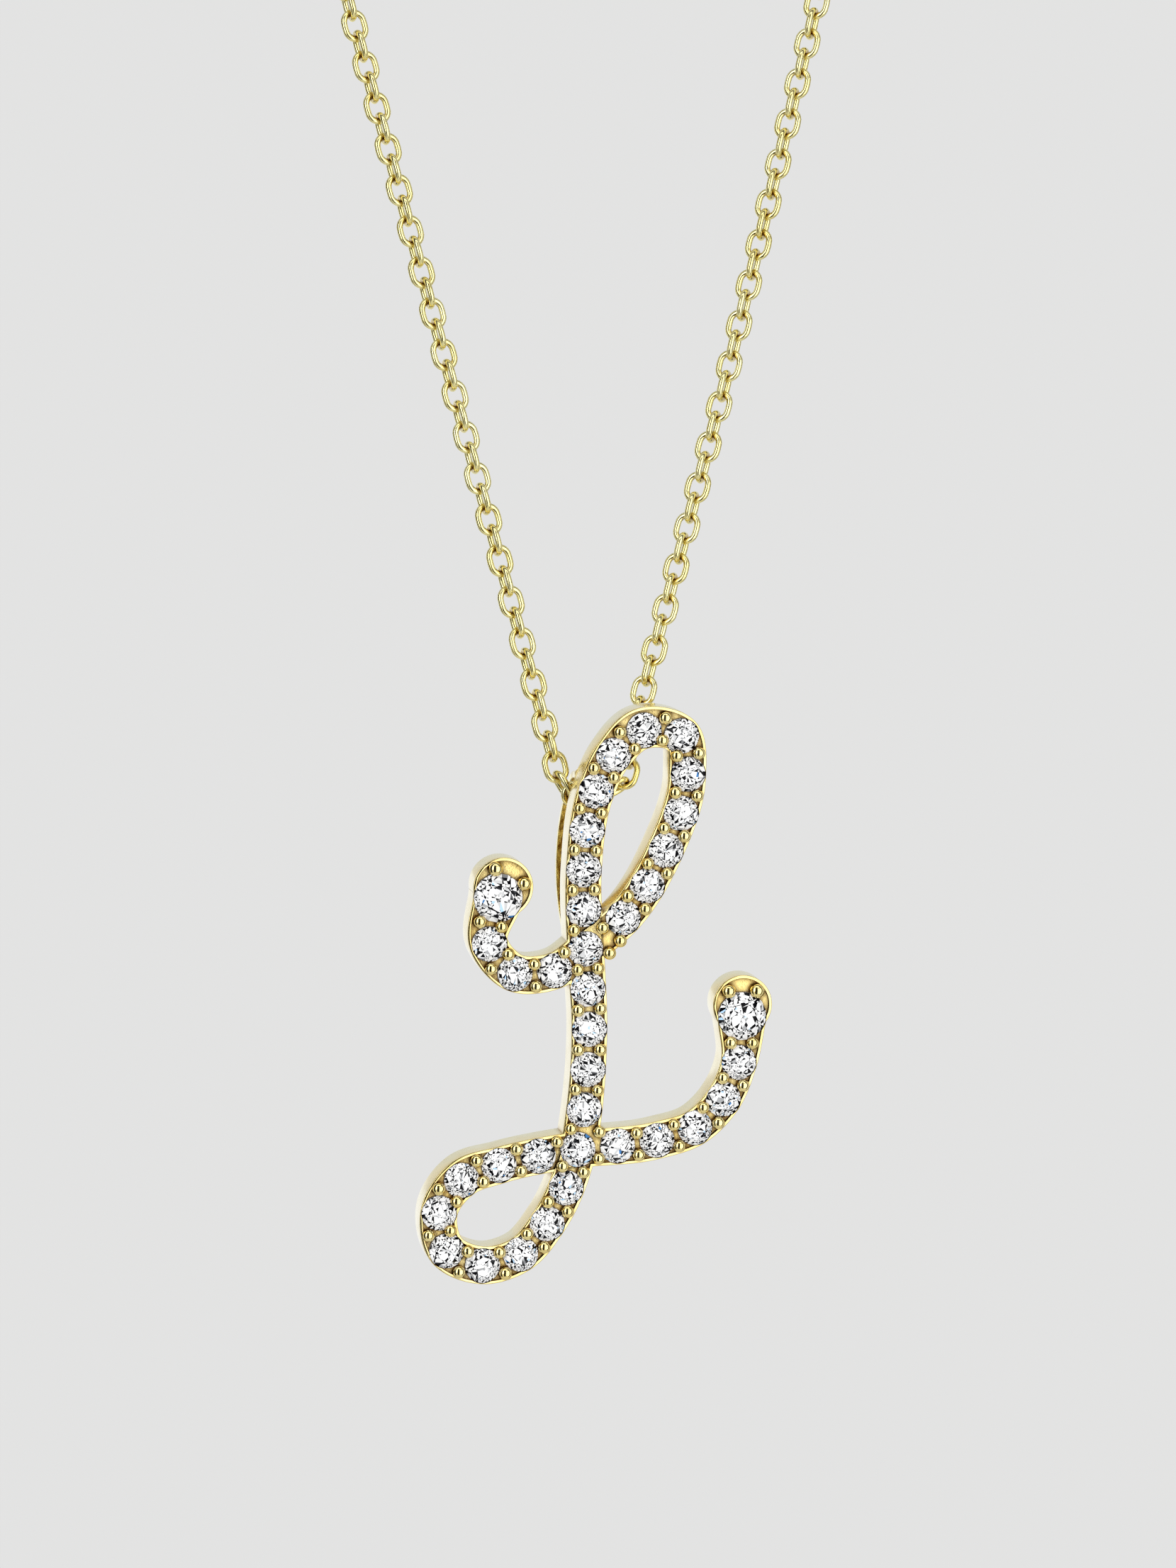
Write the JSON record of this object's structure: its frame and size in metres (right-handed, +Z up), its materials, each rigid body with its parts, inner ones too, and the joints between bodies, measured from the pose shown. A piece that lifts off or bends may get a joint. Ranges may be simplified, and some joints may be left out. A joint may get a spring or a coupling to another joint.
{
  "type": "initial pendant",
  "caption": "Script letter pendant set with round stones, hung by a hidden bail on a fine cable chain closed by a plain ring clasp.",
  "frame": {"origin": "at the nape, in the middle of the clasp", "axes": "+Z up, the front of the pendant faces -Y, +X to the right of a viewer in front of it"},
  "size_m": [0.1068, 0.1048, 0.1474],
  "materials": {
    "gold": "polished pale yellow gold",
    "stone": "clear, bright, brilliant cut"
  },
  "bodies": {
    "necklace": {"chain": "gold", "clasp": "gold"},
    "pendant": {"letter_frame": "gold", "end_stone_left": "stone", "end_stone_right": "stone", "stone_01": "stone", "stone_02": "stone", "stone_03": "stone", "stone_04": "stone", "stone_05": "stone", "stone_06": "stone", "stone_07": "stone", "stone_08": "stone", "stone_09": "stone", "stone_10": "stone", "stone_11": "stone", "stone_12": "stone", "stone_13": "stone", "stone_14": "stone", "stone_15": "stone", "stone_16": "stone", "stone_17": "stone", "stone_18": "stone", "stone_19": "stone", "stone_20": "stone", "stone_21": "stone", "stone_22": "stone", "stone_23": "stone", "stone_24": "stone", "stone_25": "stone", "stone_26": "stone", "stone_27": "stone", "stone_28": "stone", "stone_29": "stone", "stone_30": "stone", "stone_31": "stone", "stone_32": "stone", "stone_33": "stone", "stone_34": "stone", "stone_35": "stone"}
  },
  "joints": [
    {"name": "pendant_swing", "type": "hinge", "parent": "necklace", "child": "pendant", "pos_m": [-0.00053, -0.102, -0.127], "axis": [1, 0, 0], "range_deg": [-12, 90]}
  ]
}
